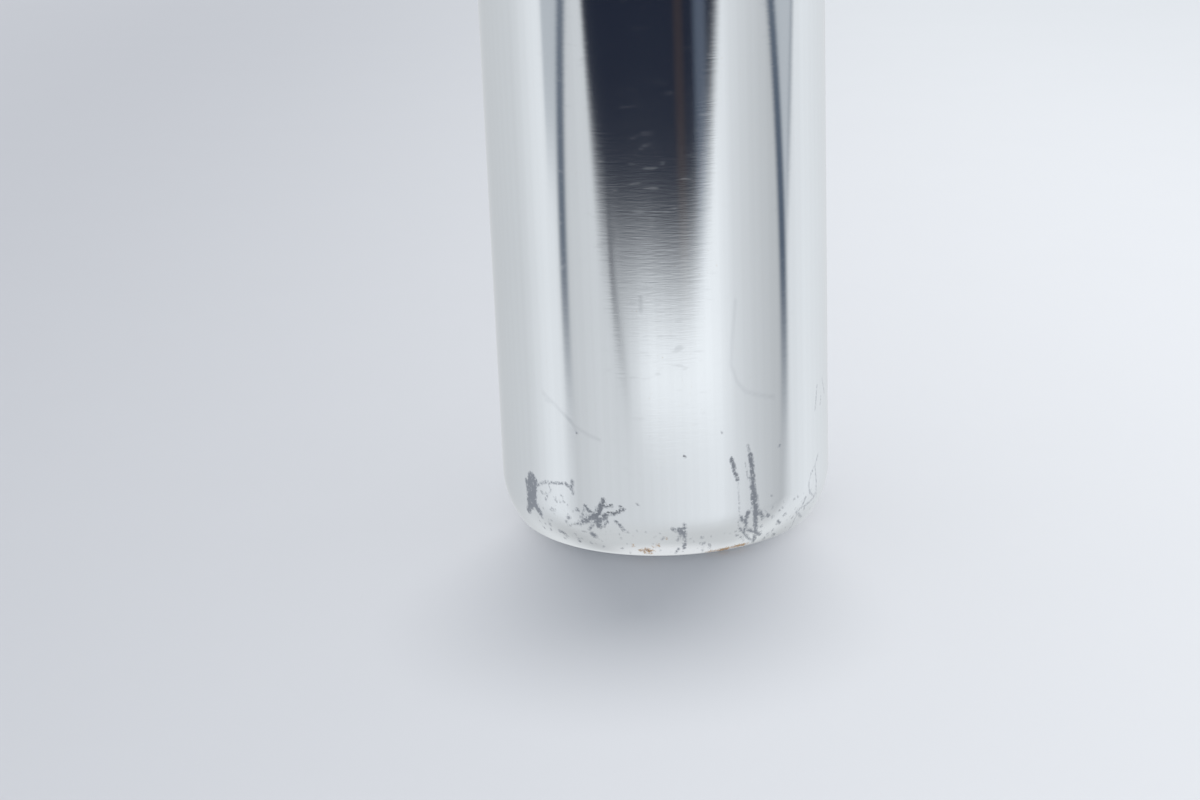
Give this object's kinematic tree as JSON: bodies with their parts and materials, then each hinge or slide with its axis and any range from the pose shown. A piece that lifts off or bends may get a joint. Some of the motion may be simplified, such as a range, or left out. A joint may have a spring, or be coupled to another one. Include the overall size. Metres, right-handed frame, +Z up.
{
  "type": "bicycle seatpost",
  "caption": "Polished aluminium bicycle seatpost: plain round shaft with a bull-nosed lower end, and a setback head with a single-bolt saddle clamp that tilts.",
  "frame": {"origin": "on the shaft's axis, at the line down to which the shaft must be held, 70 mm above its lower end", "axes": "+Z up the shaft to the saddle, +X the riding direction, +Y the rider's left"},
  "size_m": [0.0649, 0.0582, 0.2655],
  "materials": {
    "polished_aluminium": "polished, with fine lines round the tube",
    "forged_aluminium": "polished forging",
    "clamp_aluminium": "satin",
    "plated_steel": "zinc plated"
  },
  "bodies": {
    "post": {"shaft": "polished_aluminium", "head": "forged_aluminium"},
    "clamp": {"lower_cradle": "clamp_aluminium", "upper_clamp": "clamp_aluminium", "clamp_bolt": "plated_steel", "saddle_washer": "plated_steel", "clamp_nut": "plated_steel"}
  },
  "joints": [
    {"name": "saddle_tilt", "type": "hinge", "parent": "post", "child": "clamp", "pos_m": [-0.02091, 0, 0.19339], "axis": [0, 1, 0], "range_deg": [-10, 15]}
  ]
}
